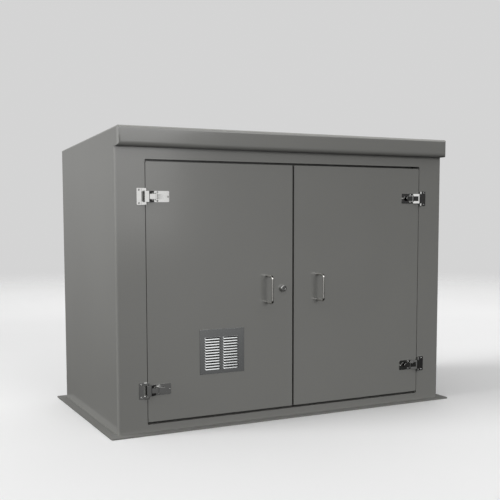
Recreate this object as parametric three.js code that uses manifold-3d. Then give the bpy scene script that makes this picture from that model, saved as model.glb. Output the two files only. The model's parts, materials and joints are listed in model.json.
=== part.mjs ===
// An insulated, two-door outdoor cabinet around a reduced-pressure-zone backflow preventer.
// Millimetres, +Z up. The front faces -Y and the origin is the bottom centre of the bounding box.
// Everything is drawn with the door face in the plane y = 0, and the whole group is then moved back.
import * as THREE from "three";
import { mergeVertices } from "three/addons/utils/BufferGeometryUtils.js";
import Module from "manifold-3d";

// Cabinet
const WIDTH = 1500;
const DEPTH = 775;
const HEIGHT = 1160; // at the front top edge
const ROOF_DROP = 43.5; // from the front top edge to the back of the roof
const FASCIA_OUT = 40;
const FASCIA_LOW = 1085;
const WALL = 6;
const ROOF_THICK = 8;
const FLANGE_WIDE = 35;
const FLANGE_THICK = 5;
const FRAME_DEEP = 70; // the thick front frame round the doorway
const LINER = 25;

// Doorway and doors
const DOORWAY_HALF = 632.5;
const DOORWAY_LOW = 34;
const DOORWAY_HIGH = 1041;
const DOORWAY_CORNER = 4;
const REBATE_Y = 48; // where the doorway steps in to the lip that carries the seal
const LIP = 25;
const DOOR_OUTER = 630;
const DOOR_INNER = 4; // half of the gap where the doors meet
const DOOR_LOW = 44;
const DOOR_HIGH = 1032;
const DOOR_THICK = 45;
const DOOR_CORNER = 5;
const DOOR_SKIN = 4;

// Fittings on the doors
const HANDLE_Z = 534;
const HANDLE_HIGH = 106; // centre to centre of the two legs
const HANDLE_OUT = 55;
const HANDLE_RADIUS = 5;
const HANDLE_BEND = 10;
const LEFT_HANDLE_X = -121;
const RIGHT_HANDLE_X = 116;
const LOCK_X = -50;
const LOCK_Z = 535;
const LOCK_BARREL_END = 52;
const LOCK = { head: 13, headOut: 14, sides: 28, barrel: 9.5, bore: 6.4, plug: 6, nut: 15 };
const CAM_SEAT = 2; // from the end of the barrel to the cam
const CAM_THICK = 3;
const BOLT_X = 40;
const BOLT_Y = 57;
const BOLT_RADIUS = 5;
const BOLT_TOP = 1010; // upper bolt, drawn back
const BOLT_BOTTOM = 65; // lower bolt, drawn back
const BOLT_LONG = 140;
const BUFFER_HEIGHTS = { upper: 1012, lower: 64 };

// Vent
const VENT = { left: -416, right: -225, low: 209, high: 385 };
const LOUVRES = { low: 224, high: 354, wide: 66, count: 12, columns: [-395, -317] };

// Latches that double as lift-off hinges. u runs from the keeper's bar towards the middle of the
// cabinet, v out of the door face and w up.
const HINGE_X = 633.5;
const HINGE_OUT = 12.5;
const LATCH_HEIGHTS = { upper: 902, lower: 167 };
const BAR_RADIUS = 3;
const HOOK_INNER = 3.4;
const HOOK_OUTER = 5;
const PIVOT_U = 43.5;
const PIVOT_V = 10.5;

// Backflow preventer, sized for DN50 pipe. Heights and reaches count from the pipe's axis.
const PIPE_Y = 400;
const PIPE_Z = 520;
const PIPE = { outer: 30, inner: 26, band: 33, x: 430, bend: 80 };
const VALVE = {
  x: 275,
  half: 54.7,
  barrel: 36,
  hexagon: 41,
  hexagonFrom: 34,
  belly: 40,
  bellyHalf: 22,
  neck: 17,
  neckTop: 62,
  chamber: 31,
  port: 22,
};
const BALL = { radius: 29.5, bore: 20, stem: 6, stemTop: 74 };
const LEVER = { low: 64, thick: 4, half: 11, tail: 14, reach: 150, gripFrom: 60, gripOver: 3 };
const BODY = { flange: 40, barrel: 48, step: 24, passage: 14, cross: -6, rise: 30 };
const CHECK = { x: 95, tower: 50, low: -38, top: 72, chamber: 34, seat: 14, throat: 20, throatLow: -8 };
const COVER = { thick: 10, boss: 13, bossLow: 44, guide: 5.8, hexagon: 22, hexagonTop: 92 };
const POPPET = { radius: 26, thick: 6, stem: 5, stemTop: 62 };
const RELIEF = { radius: 44, low: -120, chamber: 30, seat: -62, throat: 9, throatTop: 12 };
const DUMP = { cover: 46, coverLow: -130, disc: 22, thick: 5, stem: 4, stemLow: -128, drain: 8, ring: 25 };
const COCK = {
  shank: 7,
  shankEnd: 16,
  hexagon: 10,
  hexagonFrom: 12,
  hexagonEnd: 28,
  nose: 6,
  noseLong: 14,
  spindle: 4,
  spindleOver: 5,
};
const FUNNEL = { lip: 70, throat: 27, lipZ: -180, throatZ: -250, wall: 3 };

const GAP = 0.3; // between pieces that rest on each other
const SLOPE = ROOF_DROP / (DEPTH + FASCIA_OUT);
const MERGE_TOLERANCE = 1e-4;
const ROUND = 16; // sides of a round bar or hole
const ROUND_LARGE = 20; // sides of the larger castings
const ROUND_SMALL = 8; // sides of a screw hole
const X = new THREE.Vector3(1, 0, 0);
const Y = new THREE.Vector3(0, 1, 0);
const Z = new THREE.Vector3(0, 0, 1);

const wasm = await Module();
wasm.setup();

const material = (color, roughness, metalness) =>
  new THREE.MeshStandardMaterial({ color, roughness, metalness });
const materials = {
  coating: material(0x85857f, 0.42, 0),
  foam: material(0xd8d2bd, 0.95, 0),
  rubber: material(0x17181a, 0.75, 0),
  stainless: material(0xc9cbce, 0.25, 1),
  galvanised: material(0x9fa4a8, 0.5, 1),
  bronze: material(0xa9793f, 0.5, 1),
  pipe: material(0xa8adb0, 0.45, 1),
  lever: material(0x2459a6, 0.45, 0.1),
  plastic: material(0x22262b, 0.55, 0),
};

const cabinet = new THREE.Group();
cabinet.position.y = -(DEPTH + FLANGE_WIDE - HANDLE_OUT) / 2;

// ---- solids ----

function solidOf(geometry) {
  geometry.deleteAttribute("normal");
  geometry.deleteAttribute("uv");
  const merged = mergeVertices(geometry, MERGE_TOLERANCE);
  return new wasm.Manifold(
    new wasm.Mesh({
      numProp: 3,
      vertProperties: merged.attributes.position.array,
      triVerts: new Uint32Array(merged.index.array),
    }),
  );
}

function addPiece(name, solid, finish) {
  const { vertProperties, triVerts } = solid.getMesh();
  const geometry = new THREE.BufferGeometry();
  geometry.setAttribute("position", new THREE.BufferAttribute(vertProperties, 3));
  geometry.setIndex(new THREE.BufferAttribute(triVerts, 1));
  geometry.computeVertexNormals();
  const mesh = new THREE.Mesh(geometry, finish);
  mesh.name = name;
  cabinet.add(mesh);
}

const join = (first, ...others) => others.reduce((whole, next) => whole.add(next), first);
const cut = (first, ...others) => others.reduce((whole, next) => whole.subtract(next), first);

function block([x0, x1], [y0, y1], [z0, z1]) {
  const box = new THREE.BoxGeometry(x1 - x0, y1 - y0, z1 - z0);
  box.translate((x0 + x1) / 2, (y0 + y1) / 2, (z0 + z1) / 2);
  return solidOf(box);
}

// A round bar between two points.
function rod(radius, from, to, sides = ROUND) {
  const start = new THREE.Vector3(...from);
  const along = new THREE.Vector3(...to).sub(start);
  const bar = new THREE.CylinderGeometry(radius, radius, along.length(), sides);
  const turn = new THREE.Quaternion().setFromUnitVectors(Y, along.clone().normalize());
  bar.applyQuaternion(turn);
  const middle = start.addScaledVector(along, 0.5);
  bar.translate(middle.x, middle.y, middle.z);
  return solidOf(bar);
}

// An outline pushed along an axis. It is drawn in (x, y) for z, in (y, z) for x and in (x, z) for y.
function prism(outline, axis, low, high, curveSegments = 5) {
  const shape = Array.isArray(outline)
    ? new THREE.Shape(outline.map(([a, b]) => new THREE.Vector2(a, b)))
    : outline;
  const bases = { x: [Y, Z, X], y: [X, Z, Y.clone().negate()], z: [X, Y, Z] };
  const body = new THREE.ExtrudeGeometry(shape, {
    depth: high - low,
    bevelEnabled: false,
    curveSegments,
  });
  body.translate(0, 0, axis === "y" ? -high : low);
  body.applyMatrix4(new THREE.Matrix4().makeBasis(...bases[axis]));
  return solidOf(body);
}

// A rectangle with a radius for its two low corners and one for its two high corners.
function rounded([left, right], [low, high], lowRadius, highRadius = lowRadius) {
  const shape = new THREE.Shape();
  shape.moveTo(left + lowRadius, low);
  shape.absarc(right - lowRadius, low + lowRadius, lowRadius, -Math.PI / 2, 0);
  shape.absarc(right - highRadius, high - highRadius, highRadius, 0, Math.PI / 2);
  shape.absarc(left + highRadius, high - highRadius, highRadius, Math.PI / 2, Math.PI);
  shape.absarc(left + lowRadius, low + lowRadius, lowRadius, Math.PI, 1.5 * Math.PI);
  return shape;
}

// ---- cabinet ----

const roofAt = (y) => HEIGHT - SLOPE * (y + FASCIA_OUT);

function sideProfile() {
  const frontTop = 13;
  const frontLow = 18;
  const backTop = 10;
  const shape = new THREE.Shape();
  shape.moveTo(0, 0);
  shape.lineTo(0, FASCIA_LOW);
  shape.lineTo(frontLow - FASCIA_OUT, FASCIA_LOW);
  shape.quadraticCurveTo(-FASCIA_OUT, FASCIA_LOW, -FASCIA_OUT, FASCIA_LOW + frontLow);
  shape.lineTo(-FASCIA_OUT, HEIGHT - frontTop);
  shape.quadraticCurveTo(-FASCIA_OUT, HEIGHT, frontTop - FASCIA_OUT, roofAt(frontTop - FASCIA_OUT));
  shape.lineTo(DEPTH - backTop, roofAt(DEPTH - backTop));
  shape.quadraticCurveTo(DEPTH, roofAt(DEPTH), DEPTH, roofAt(DEPTH) - backTop);
  shape.lineTo(DEPTH, 0);
  return shape;
}

// The rounded edges along the two sides of the sloping roof.
function roofEdges() {
  const radius = 9;
  const outline = rounded([-WIDTH / 2, WIDTH / 2], [-HEIGHT, HEIGHT], radius);
  const body = new THREE.ExtrudeGeometry(outline, {
    depth: 2 * DEPTH,
    bevelEnabled: false,
    curveSegments: 5,
  });
  body.applyMatrix4(new THREE.Matrix4().makeBasis(X, Z, Y.clone().negate()));
  body.translate(0, 1.5 * DEPTH, 0);
  const shear = new THREE.Matrix4();
  shear.elements[6] = -SLOPE;
  shear.elements[14] = -SLOPE * FASCIA_OUT;
  body.applyMatrix4(shear);
  return solidOf(body);
}

function insideOf(x, backY, drop) {
  const front = FASCIA_OUT - WALL;
  const shelf = FASCIA_LOW + 10;
  return prism(
    [
      [FRAME_DEEP, -FLANGE_THICK],
      [FRAME_DEEP, shelf],
      [-front, shelf],
      [-front, roofAt(-front) - drop],
      [backY, roofAt(backY) - drop],
      [backY, -FLANGE_THICK],
    ],
    "x",
    -x,
    x,
  );
}

function cabinetShell() {
  const half = WIDTH / 2;
  const seam = 1095;
  const walls = prism(rounded([-half, half], [0, DEPTH], 10), "z", 0, seam);
  const roof = prism(rounded([-half, half], [-FASCIA_OUT, DEPTH], 14, 10), "z", FASCIA_LOW, HEIGHT);
  const outside = join(walls, roof)
    .intersect(prism(sideProfile(), "x", -half, half))
    .intersect(roofEdges());
  const flange = prism(
    rounded([-half - FLANGE_WIDE, half + FLANGE_WIDE], [-FLANGE_WIDE, DEPTH + FLANGE_WIDE], 8),
    "z",
    0,
    FLANGE_THICK,
  );
  const doorway = prism(
    rounded([-DOORWAY_HALF, DOORWAY_HALF], [DOORWAY_LOW, DOORWAY_HIGH], DOORWAY_CORNER),
    "y",
    -FASCIA_OUT,
    REBATE_Y,
  );
  const lipHalf = DOORWAY_HALF - LIP;
  const lipHole = prism(
    rounded([-lipHalf, lipHalf], [DOORWAY_LOW + LIP, DOORWAY_HIGH - LIP], 6),
    "y",
    0,
    2 * FRAME_DEEP,
  );
  const socket = BOLT_RADIUS + 1.5;
  return cut(
    join(outside, flange),
    insideOf(half - WALL, DEPTH - WALL, ROOF_THICK),
    doorway,
    lipHole,
    rod(socket, [BOLT_X, BOLT_Y, BOLT_TOP], [BOLT_X, BOLT_Y, BOLT_TOP + 36]),
    rod(socket, [BOLT_X, BOLT_Y, BOLT_BOTTOM], [BOLT_X, BOLT_Y, BOLT_BOTTOM - 36]),
  );
}

function insulationLiner() {
  const clear = 0.5;
  const half = WIDTH / 2 - WALL - clear;
  const back = DEPTH - WALL - clear;
  const drop = ROOF_THICK + clear;
  const panel = (y, inner, thick, low) => [
    [y, low],
    [y, roofAt(y) - drop - thick],
    [inner, roofAt(inner) - drop - thick],
    [inner, low],
  ];
  const outer = prism(panel(FRAME_DEEP + clear, back, 0, FLANGE_THICK), "x", -half, half);
  const hollow = prism(panel(0, back - LINER, LINER, -1), "x", LINER - half, half - LINER);
  return outer.subtract(hollow);
}

function doorSeal() {
  const outerMargin = 6.5;
  const wide = 12;
  const extra = 5; // the doors end farther from the doorway above and below than at the sides
  const corner = 6;
  const ring = (margin) =>
    rounded(
      [margin - DOORWAY_HALF, DOORWAY_HALF - margin],
      [DOORWAY_LOW + margin + extra, DOORWAY_HIGH - margin - extra],
      corner,
    );
  const front = DOOR_THICK + GAP;
  return prism(ring(outerMargin), "y", front, REBATE_Y - GAP).subtract(
    prism(ring(outerMargin + wide), "y", front - 1, REBATE_Y + 1),
  );
}

function centrePost() {
  const half = 25;
  const thick = 4;
  return block(
    [-half, half],
    [REBATE_Y + GAP, REBATE_Y + GAP + thick],
    [DOORWAY_LOW + LIP + GAP, DOORWAY_HIGH - LIP - GAP],
  );
}

// ---- doors ----

const doorSpan = (side) =>
  side < 0 ? [-DOOR_OUTER, -DOOR_INNER] : [DOOR_INNER, DOOR_OUTER];

const inset = ([low, high], by) => [low + by, high - by];

function doorSkin(side) {
  const span = doorSpan(side);
  const tall = [DOOR_LOW, DOOR_HIGH];
  const corner = DOOR_CORNER - DOOR_SKIN;
  return cut(
    prism(rounded(span, tall, DOOR_CORNER), "y", 0, DOOR_THICK),
    prism(
      rounded(inset(span, DOOR_SKIN), inset(tall, DOOR_SKIN), corner),
      "y",
      DOOR_SKIN,
      DOOR_THICK + 1,
    ),
  );
}

function doorCore(side) {
  const margin = DOOR_SKIN + GAP;
  return prism(
    rounded(inset(doorSpan(side), margin), inset([DOOR_LOW, DOOR_HIGH], margin), 4),
    "y",
    margin,
    DOOR_THICK,
  );
}

const louvreLeft = Math.min(...LOUVRES.columns);
const louvreRight = Math.max(...LOUVRES.columns) + LOUVRES.wide;

function ventHole() {
  const margin = 3;
  return block(
    [louvreLeft - margin, louvreRight + margin],
    [-1, DOOR_THICK + 1],
    [LOUVRES.low - margin, LOUVRES.high + margin],
  );
}

const lockHole = (radius) => rod(radius, [LOCK_X, -1, LOCK_Z], [LOCK_X, DOOR_THICK + 1, LOCK_Z]);

// A plate with two openings, each crossed by slats that slope down and out.
function ventGrille() {
  const sheet = 1.5;
  const out = 6.5;
  const pitch = (LOUVRES.high - LOUVRES.low) / LOUVRES.count;
  const tall = 0.66 * pitch;
  const hold = 0.6; // how far a slat runs into the plate at each end
  const face = -GAP - sheet;
  const openings = LOUVRES.columns.map((left) =>
    block([left, left + LOUVRES.wide], [face - 1, 0], [LOUVRES.low, LOUVRES.high]),
  );
  const slats = LOUVRES.columns.flatMap((left) =>
    Array.from({ length: LOUVRES.count }, (_, i) => {
      const top = LOUVRES.high - i * pitch - 0.17 * pitch;
      const section = [
        [face + 0.8, top + 0.8],
        [-out, top - tall + 0.8],
        [-out + 0.8, top - tall],
        [face + 0.8, top - 0.8],
      ];
      return prism(section, "x", left - hold, left + LOUVRES.wide + hold);
    }),
  );
  const plate = prism(
    rounded([VENT.left, VENT.right], [VENT.low, VENT.high], 3),
    "y",
    face,
    -GAP,
  );
  return join(cut(plate, ...openings), ...slats);
}

function ventMesh() {
  const margin = 2;
  return block(
    [louvreLeft - margin, louvreRight + margin],
    [2, 3],
    [LOUVRES.low - margin, LOUVRES.high + margin],
  );
}

// A bar bent to a D, standing off the door on its two legs.
function handle(x) {
  const axisY = HANDLE_RADIUS - HANDLE_OUT;
  const low = HANDLE_Z - HANDLE_HIGH / 2;
  const high = HANDLE_Z + HANDLE_HIGH / 2;
  const at = (y, z) => new THREE.Vector3(x, y, z);
  const path = new THREE.CurvePath();
  path.add(new THREE.LineCurve3(at(-GAP, low), at(axisY + HANDLE_BEND, low)));
  path.add(
    new THREE.QuadraticBezierCurve3(
      at(axisY + HANDLE_BEND, low),
      at(axisY, low),
      at(axisY, low + HANDLE_BEND),
    ),
  );
  path.add(new THREE.LineCurve3(at(axisY, low + HANDLE_BEND), at(axisY, high - HANDLE_BEND)));
  path.add(
    new THREE.QuadraticBezierCurve3(
      at(axisY, high - HANDLE_BEND),
      at(axisY, high),
      at(axisY + HANDLE_BEND, high),
    ),
  );
  path.add(new THREE.LineCurve3(at(axisY + HANDLE_BEND, high), at(-GAP, high)));
  const section = new THREE.Shape().absarc(0, 0, HANDLE_RADIUS, 0, 2 * Math.PI);
  return solidOf(
    new THREE.ExtrudeGeometry(section, { steps: 24, curveSegments: 5, extrudePath: path }),
  );
}

const onLock = (y) => [LOCK_X, y, LOCK_Z];

function lockBody() {
  return cut(
    join(
      rod(LOCK.head, onLock(-LOCK.headOut), onLock(-GAP), LOCK.sides),
      rod(LOCK.barrel, onLock(-1), onLock(LOCK_BARREL_END)),
    ),
    rod(LOCK.bore, onLock(-LOCK.headOut - 1), onLock(LOCK_BARREL_END + 1)),
  );
}

function lockPlug() {
  const keyHalf = [1, 3.5];
  const keyDeep = 5;
  const keyway = block(
    [LOCK_X - keyHalf[0], LOCK_X + keyHalf[0]],
    [-LOCK.headOut - 1, -keyDeep],
    [LOCK_Z - keyHalf[1], LOCK_Z + keyHalf[1]],
  );
  const face = 0.6 - LOCK.headOut;
  return rod(LOCK.plug, onLock(face), onLock(LOCK_BARREL_END + CAM_SEAT - GAP)).subtract(keyway);
}

// The ring nut that clamps the lock to the back of the door.
function lockNut() {
  const start = DOOR_THICK + GAP;
  const thick = 4;
  return rod(LOCK.nut, onLock(start), onLock(start + thick), 6).subtract(
    rod(LOCK.barrel + 0.5, onLock(start - 1), onLock(start + thick + 1)),
  );
}

// Hangs down when the door is unlocked, and turns a quarter turn to reach behind the centre post.
function lockCam() {
  const half = 8;
  const long = 45;
  const start = LOCK_BARREL_END + CAM_SEAT;
  return prism(
    rounded([LOCK_X - half, LOCK_X + half], [LOCK_Z - long, LOCK_Z + half], 4, 7),
    "y",
    start,
    start + CAM_THICK,
  );
}

// A small rubber block on the left door's free edge. It stops short of the right door, whose back
// corner swings past it.
function buffer(z) {
  const half = 6;
  return block([GAP - DOOR_INNER, 1], [10, 20], [z - half, z + half]);
}

// direction is 1 for the upper bolt, which shoots up, and -1 for the lower one.
function slideBolt(tip, direction) {
  const knob = tip - direction * 70;
  return join(
    rod(BOLT_RADIUS, [BOLT_X, BOLT_Y, tip - direction * BOLT_LONG], [BOLT_X, BOLT_Y, tip]),
    rod(3.5, [BOLT_X, BOLT_Y, knob], [BOLT_X, BOLT_Y + 20, knob], 12),
  );
}

function boltBracket(tip, direction) {
  const plateFront = DOOR_THICK + GAP;
  const plateBack = plateFront + 2;
  const upright = (from, to) => [
    Math.min(tip - direction * from, tip - direction * to),
    Math.max(tip - direction * from, tip - direction * to),
  ];
  const guide = (from) =>
    block([BOLT_X - 8, BOLT_X + 8], [plateBack - 1, BOLT_Y + 8], upright(from, from + 8));
  const bore = rod(
    BOLT_RADIUS + 0.5,
    [BOLT_X, BOLT_Y, tip - direction * 150],
    [BOLT_X, BOLT_Y, tip],
  );
  return cut(
    join(
      block([BOLT_X - 12, BOLT_X + 12], [plateFront, plateBack], upright(15, 130)),
      guide(25),
      guide(110),
    ),
    bore,
  );
}

// ---- latches ----

const latchX = (side, u) => side * (HINGE_X - u);

function latchSpan(side, low, high) {
  const ends = [latchX(side, low), latchX(side, high)];
  return [Math.min(...ends), Math.max(...ends)];
}

const latchBlock = (side, z, [u0, u1], [v0, v1], [w0, w1]) =>
  block(latchSpan(side, u0, u1), [-v1, -v0], [z + w0, z + w1]);

const latchPlate = (side, z, [u0, u1], [v0, v1], half, radius) =>
  prism(rounded(latchSpan(side, u0, u1), [z - half, z + half], radius), "y", -v1, -v0, 3);

const latchPrism = (side, outline, low, high) =>
  prism(outline.map(([u, v]) => [latchX(side, u), -v]), "z", low, high);

const latchHole = (side, z, u, w, radius) =>
  rod(radius, [latchX(side, u), -8, z + w], [latchX(side, u), 8, z + w], ROUND_SMALL);

const latchPin = (side, z, radius, u, v, half, sides = 12) =>
  rod(radius, [latchX(side, u), -v, z - half], [latchX(side, u), -v, z + half], sides);

// Points on an arc about the keeper's bar, in (u, v), with angles in degrees from +u towards +v.
function barArc(radius, from, to, steps) {
  return Array.from({ length: steps + 1 }, (_, i) => {
    const angle = THREE.MathUtils.degToRad(from + ((to - from) * i) / steps);
    return [radius * Math.cos(angle), HINGE_OUT + radius * Math.sin(angle)];
  });
}

// A plate on the cabinet frame with a round bar held between two raised lugs.
function keeper(side, z) {
  const inner = 21.5;
  const outer = 31.5;
  const lug = [[-14, GAP + 1], [0, GAP + 1], ...barArc(4.6, -20, 130, 6), [-13, GAP + 3.5]];
  const plate = cut(
    latchPlate(side, z, [-32.5, 0], [GAP, GAP + 2], outer, 3),
    latchBlock(side, z, [-13.5, -6.5], [-1, 4], [-19, 19]),
    latchHole(side, z, -23.5, 25, 2.4),
    latchHole(side, z, -23.5, -25, 2.4),
  );
  return join(
    plate,
    latchPrism(side, lug, z + inner, z + outer - 1),
    latchPrism(side, lug, z - outer + 1, z - inner),
    latchPin(side, z, BAR_RADIUS, 0, HINGE_OUT, inner + 2),
  );
}

// The latch's mounting plate on the door, with the lever's two ears.
function latchBase(side, z) {
  const pivot = latchPin(side, z, 2.5, PIVOT_U, PIVOT_V, 20);
  const plate = cut(
    latchPlate(side, z, [36, 96], [GAP, GAP + 2], 21, 4),
    latchHole(side, z, 49, 16, 2.4),
    latchHole(side, z, 49, -16, 2.4),
    latchHole(side, z, 91, 0, 2.4),
  );
  const ears = [1, -1].map((up) =>
    latchBlock(side, z, [39, 48], [1, 14], up > 0 ? [11, 13] : [-13, -11]),
  );
  return cut(join(plate, ...ears), pivot);
}

// The thumb lever with its round end and its riveted pivot pin.
function latchLever(side, z) {
  const half = 9.5;
  const length = 76;
  const low = 12.5;
  const high = 15;
  const tongue = prism(
    rounded(latchSpan(side, 40, length), [z - half, z + half], 1.5),
    "y",
    -14,
    -11.5,
  );
  const roundEnd = length - half;
  const endX = latchX(side, roundEnd);
  const nose = rod(half, [endX, -14, z], [endX, -11.5, z], ROUND_LARGE);
  const beyond = latchBlock(side, z, [roundEnd, length + 1], [11, 15], [-half - 1, half + 1]);
  return join(
    tongue.subtract(beyond),
    nose,
    latchPin(side, z, 3.9, PIVOT_U, PIVOT_V, half),
    latchPin(side, z, 2.1, PIVOT_U, PIVOT_V, 14.5, 12),
  );
}

// The claw that hooks over the keeper's bar: a wide head with a rolled lip, two shoulders that
// slope down to the door on either side, and a narrow neck that runs back to the lever.
function latchClaw(side, z) {
  const top = HINGE_OUT + HOOK_OUTER;
  const under = HINGE_OUT + HOOK_INNER;
  const wide = 20.5;
  const neck = 9.5;
  const sheet = [
    ...barArc(HOOK_INNER, 215, 90, 8),
    [10.5, under],
    [32.5, 2.8],
    [35, 2.8],
    [35, 4.4],
    [13, top - 0.8],
    [11.5, top],
    ...barArc(HOOK_OUTER, 90, 215, 8),
  ];
  const middle = latchBlock(side, z, [14.5, 40], [0, top], [-neck - 1, neck + 1]);
  return join(
    latchPrism(side, sheet, z - wide, z + wide).subtract(middle),
    latchBlock(side, z, [12, 38.7], [12.5, 15], [-neck, neck]),
  );
}

function addLatch(sideName, side, level) {
  const z = LATCH_HEIGHTS[level];
  const name = (piece) => `${sideName}_${level}_${piece}`;
  addPiece(name("keeper"), keeper(side, z), materials.stainless);
  addPiece(name("latch_base"), latchBase(side, z), materials.stainless);
  addPiece(name("latch_lever"), latchLever(side, z), materials.stainless);
  addPiece(name("latch_claw"), latchClaw(side, z), materials.stainless);
}

// ---- backflow preventer, placed from the middle of its horizontal pipe axis ----

const onPipe = (x, z) => [x, PIPE_Y, PIPE_Z + z];

// The pipe that comes up from the ground and turns to meet the shut-off valve.
function riser(side) {
  const x = side * PIPE.x;
  const bendEnd = side * (PIPE.x - PIPE.bend);
  const valveEnd = side * (VALVE.x + VALVE.half + GAP);
  const kappa = 0.5523 * PIPE.bend; // handle length that makes a cubic curve a quarter circle
  const path = new THREE.CubicBezierCurve3(
    new THREE.Vector3(...onPipe(x, -PIPE.bend)),
    new THREE.Vector3(...onPipe(x, kappa - PIPE.bend)),
    new THREE.Vector3(...onPipe(bendEnd + side * (PIPE.bend - kappa), 0)),
    new THREE.Vector3(...onPipe(bendEnd, 0)),
  );
  const bend = (radius) =>
    solidOf(
      new THREE.ExtrudeGeometry(new THREE.Shape().absarc(0, 0, radius, 0, 2 * Math.PI), {
        steps: 5,
        curveSegments: ROUND / 2,
        extrudePath: path,
      }),
    );
  const upright = [[x, PIPE_Y, 0], onPipe(x, 1 - PIPE.bend)];
  const level = [onPipe(bendEnd + side, 0), onPipe(valveEnd, 0)];
  const outside = join(bend(PIPE.band), rod(PIPE.outer, ...upright), rod(PIPE.outer, ...level));
  return cut(
    outside,
    bend(PIPE.inner),
    rod(PIPE.inner, [x, PIPE_Y, -1], upright[1]),
    rod(PIPE.inner, level[0], onPipe(valveEnd - side, 0)),
  );
}

const ballSolid = (radius, x) => {
  const ball = new THREE.SphereGeometry(radius, ROUND, ROUND / 2);
  ball.translate(...onPipe(x, 0));
  return solidOf(ball);
};

function valveBody(side) {
  const x = side * VALVE.x;
  const end = VALVE.half;
  const neckLow = 20;
  const shell = join(
    rod(VALVE.barrel, onPipe(x - end, 0), onPipe(x + end, 0)),
    rod(VALVE.hexagon, onPipe(x - end, 0), onPipe(x - VALVE.hexagonFrom, 0), 8),
    rod(VALVE.hexagon, onPipe(x + VALVE.hexagonFrom, 0), onPipe(x + end, 0), 8),
    rod(VALVE.belly, onPipe(x - VALVE.bellyHalf, 0), onPipe(x + VALVE.bellyHalf, 0)),
    rod(VALVE.neck, onPipe(x, neckLow), onPipe(x, VALVE.neckTop)),
  );
  return cut(
    shell,
    ballSolid(VALVE.chamber, x),
    rod(VALVE.port, onPipe(x - end - 1, 0), onPipe(x + end + 1, 0)),
    rod(BALL.stem + 0.7, onPipe(x, neckLow), onPipe(x, VALVE.neckTop + 1)),
  );
}

function valveStem(side) {
  const x = side * VALVE.x;
  const bore = rod(BALL.bore, onPipe(x - BALL.radius, 0), onPipe(x + BALL.radius, 0));
  const root = 0.7 * BALL.radius;
  return join(
    ballSolid(BALL.radius, x).subtract(bore),
    rod(BALL.stem, onPipe(x, root), onPipe(x, BALL.stemTop), 14),
  );
}

function valveLever(side) {
  const x = side * VALVE.x;
  const over = LEVER.gripOver;
  const low = PIPE_Z + LEVER.low;
  const high = low + LEVER.thick;
  const span = (from, to) => {
    const ends = [x + side * from, x + side * to];
    return [Math.min(...ends), Math.max(...ends)];
  };
  const across = (half) => [PIPE_Y - half, PIPE_Y + half];
  const bar = rounded(span(-LEVER.tail, LEVER.reach), across(LEVER.half), 6);
  const grip = rounded(span(LEVER.gripFrom, LEVER.reach + 2 * over), across(LEVER.half + over), 9);
  return join(
    prism(bar, "z", low, high, 3),
    prism(grip, "z", low - over, high + over, 3),
  ).subtract(rod(BALL.stem + 0.5, onPipe(x, LEVER.low - 4), onPipe(x, BALL.stemTop + 1)));
}

function backflowBody() {
  const end = VALVE.x - VALVE.half - GAP;
  const outside = join(
    rod(BODY.flange, onPipe(-end, 0), onPipe(end, 0)),
    rod(BODY.barrel, onPipe(BODY.step - end, 0), onPipe(end - BODY.step, 0), ROUND_LARGE),
    rod(RELIEF.radius, onPipe(0, RELIEF.low), onPipe(0, -20), ROUND_LARGE),
    ...[-CHECK.x, CHECK.x].map((x) =>
      rod(CHECK.tower, onPipe(x, CHECK.low), onPipe(x, CHECK.top), ROUND_LARGE),
    ),
  );
  const chambers = [-CHECK.x, CHECK.x].flatMap((x) => [
    rod(CHECK.chamber, onPipe(x, CHECK.seat), onPipe(x, CHECK.top + 1), ROUND_LARGE),
    rod(CHECK.throat, onPipe(x, CHECK.throatLow), onPipe(x, CHECK.seat + 1)),
  ]);
  return cut(
    outside,
    ...chambers,
    rod(BODY.passage, onPipe(-CHECK.x, BODY.cross), onPipe(-end - 1, 0)),
    rod(BODY.passage, onPipe(-CHECK.x, BODY.rise), onPipe(CHECK.x, BODY.cross)),
    rod(BODY.passage, onPipe(CHECK.x, BODY.rise), onPipe(end + 1, 0)),
    rod(RELIEF.chamber, onPipe(0, RELIEF.low - 1), onPipe(0, RELIEF.seat), ROUND_LARGE),
    rod(RELIEF.throat, onPipe(0, RELIEF.seat - 1), onPipe(0, RELIEF.throatTop)),
  );
}

function checkCover(x) {
  const top = CHECK.top + COVER.thick;
  return join(
    rod(CHECK.tower, onPipe(x, CHECK.top + GAP), onPipe(x, top), ROUND_LARGE),
    rod(COVER.boss, onPipe(x, COVER.bossLow), onPipe(x, top - 1)),
    rod(COVER.hexagon, onPipe(x, top - 1), onPipe(x, COVER.hexagonTop), 6),
  ).subtract(rod(COVER.guide, onPipe(x, COVER.bossLow - 1), onPipe(x, top - 4)));
}

// The spring-loaded disc of a check valve on its seat, with the stem that guides it.
function checkPoppet(x) {
  const seat = CHECK.seat + GAP;
  const top = seat + POPPET.thick;
  return join(
    rod(POPPET.radius, onPipe(x, seat), onPipe(x, top)),
    rod(POPPET.stem, onPipe(x, top - 1), onPipe(x, POPPET.stemTop)),
  );
}

function reliefCover() {
  const low = DUMP.coverLow;
  const high = RELIEF.low - GAP;
  const drains = [0, 1, 2, 3].map((i) => {
    const angle = (i * Math.PI) / 2 + Math.PI / 4;
    const x = DUMP.ring * Math.cos(angle);
    const y = PIPE_Y + DUMP.ring * Math.sin(angle);
    return rod(DUMP.drain, [x, y, PIPE_Z + low - 1], [x, y, PIPE_Z + high + 1], 12);
  });
  return cut(
    rod(DUMP.cover, onPipe(0, low), onPipe(0, high), ROUND_LARGE),
    rod(DUMP.stem + 0.6, onPipe(0, low - 1), onPipe(0, high + 1)),
    ...drains,
  );
}

// The disc that dumps water from the zone between the two checks.
function reliefDisc() {
  const seat = RELIEF.seat - GAP;
  return join(
    rod(DUMP.disc, onPipe(0, seat - DUMP.thick), onPipe(0, seat)),
    rod(DUMP.stem, onPipe(0, DUMP.stemLow), onPipe(0, seat - DUMP.thick + 1)),
  );
}

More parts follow.
